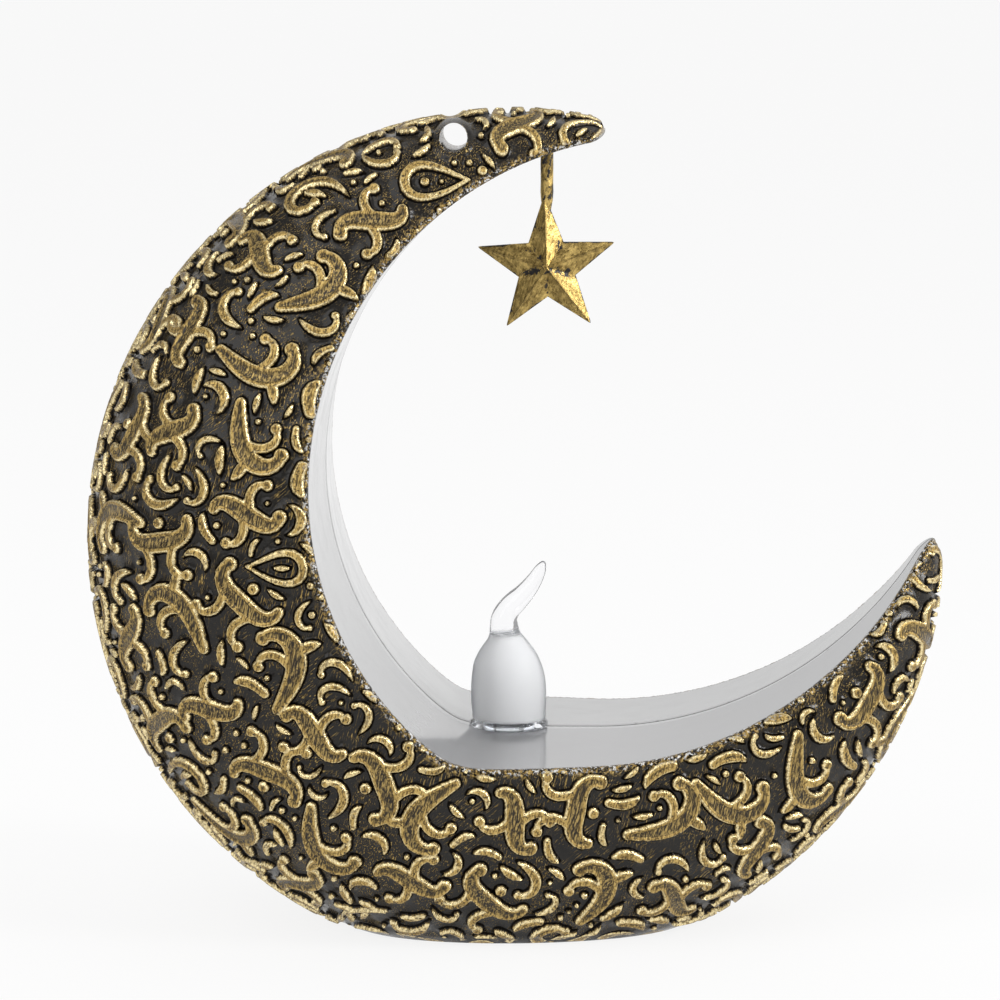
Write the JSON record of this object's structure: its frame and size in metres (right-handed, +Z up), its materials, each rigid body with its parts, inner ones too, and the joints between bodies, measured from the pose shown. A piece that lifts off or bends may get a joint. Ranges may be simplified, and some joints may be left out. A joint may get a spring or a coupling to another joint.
{
  "type": "led candle lantern",
  "caption": "Battery candle lantern in the shape of a crescent moon on a flat base, with a flame shaped lamp on its inner floor and a star hanging from the upper horn.",
  "frame": {"origin": "on the flat base, under the middle of the whole outline, on the seam plane between the two half shells", "axes": "+X to the right seen from the front, +Y to the rear, +Z up; the front looks along -Y"},
  "size_m": [0.1401, 0.0726, 0.1342],
  "materials": {
    "relief_shell": "black lacquer with antique gold brushed over raised ornament, inner wall light grey gloss",
    "inner_wall": "smooth light grey gloss",
    "gold_star": "brushed antique gold paint with dark specks",
    "frosted_cover": "frosted body with a clear polished tip",
    "clear_epoxy": "clear polished",
    "tinned_metal": "tinned, bright",
    "board": "green solder mask",
    "black_plastic": "fine spark texture",
    "cell_steel": "nickel plated",
    "red_wire": "satin insulation",
    "black_wire": "satin insulation",
    "screw_steel": "zinc plated"
  },
  "bodies": {
    "lantern": {"front_shell": "relief_shell", "rear_shell": "relief_shell", "flame_cover": "frosted_cover", "led_lens": "clear_epoxy", "led_anode_lead": "tinned_metal", "led_cathode_lead": "tinned_metal", "lamp_board": "board", "flicker_chip": "black_plastic", "resistor": "black_plastic", "bottom_cover": "black_plastic", "button_cell_1": "cell_steel", "button_cell_2": "cell_steel", "button_cell_3": "cell_steel", "positive_contact": "tinned_metal", "negative_contact": "tinned_metal", "switch_body": "tinned_metal", "switch_wire_1": "red_wire", "switch_wire_2": "black_wire", "cover_screw_1": "screw_steel", "cover_screw_2": "screw_steel", "cover_screw_3": "screw_steel", "cover_screw_4": "screw_steel"},
    "star": {"star_pendant": "gold_star"},
    "door": {"battery_door": "black_plastic"},
    "slider": {"switch_slider": "black_plastic"}
  },
  "joints": [
    {"name": "star_swivel", "type": "hinge", "parent": "lantern", "child": "star", "pos_m": [0.0049, 0, 0.1275], "axis": [0, 0, 1], "continuous": true},
    {"name": "door_hinge", "type": "hinge", "parent": "lantern", "child": "door", "pos_m": [0, -0.0081, 0.0012], "axis": [-1, 0, 0], "range_deg": [0, 100]},
    {"name": "power_switch", "type": "slide", "parent": "lantern", "child": "slider", "axis": [1, 0, 0], "range_m": [0, 0.002]}
  ]
}
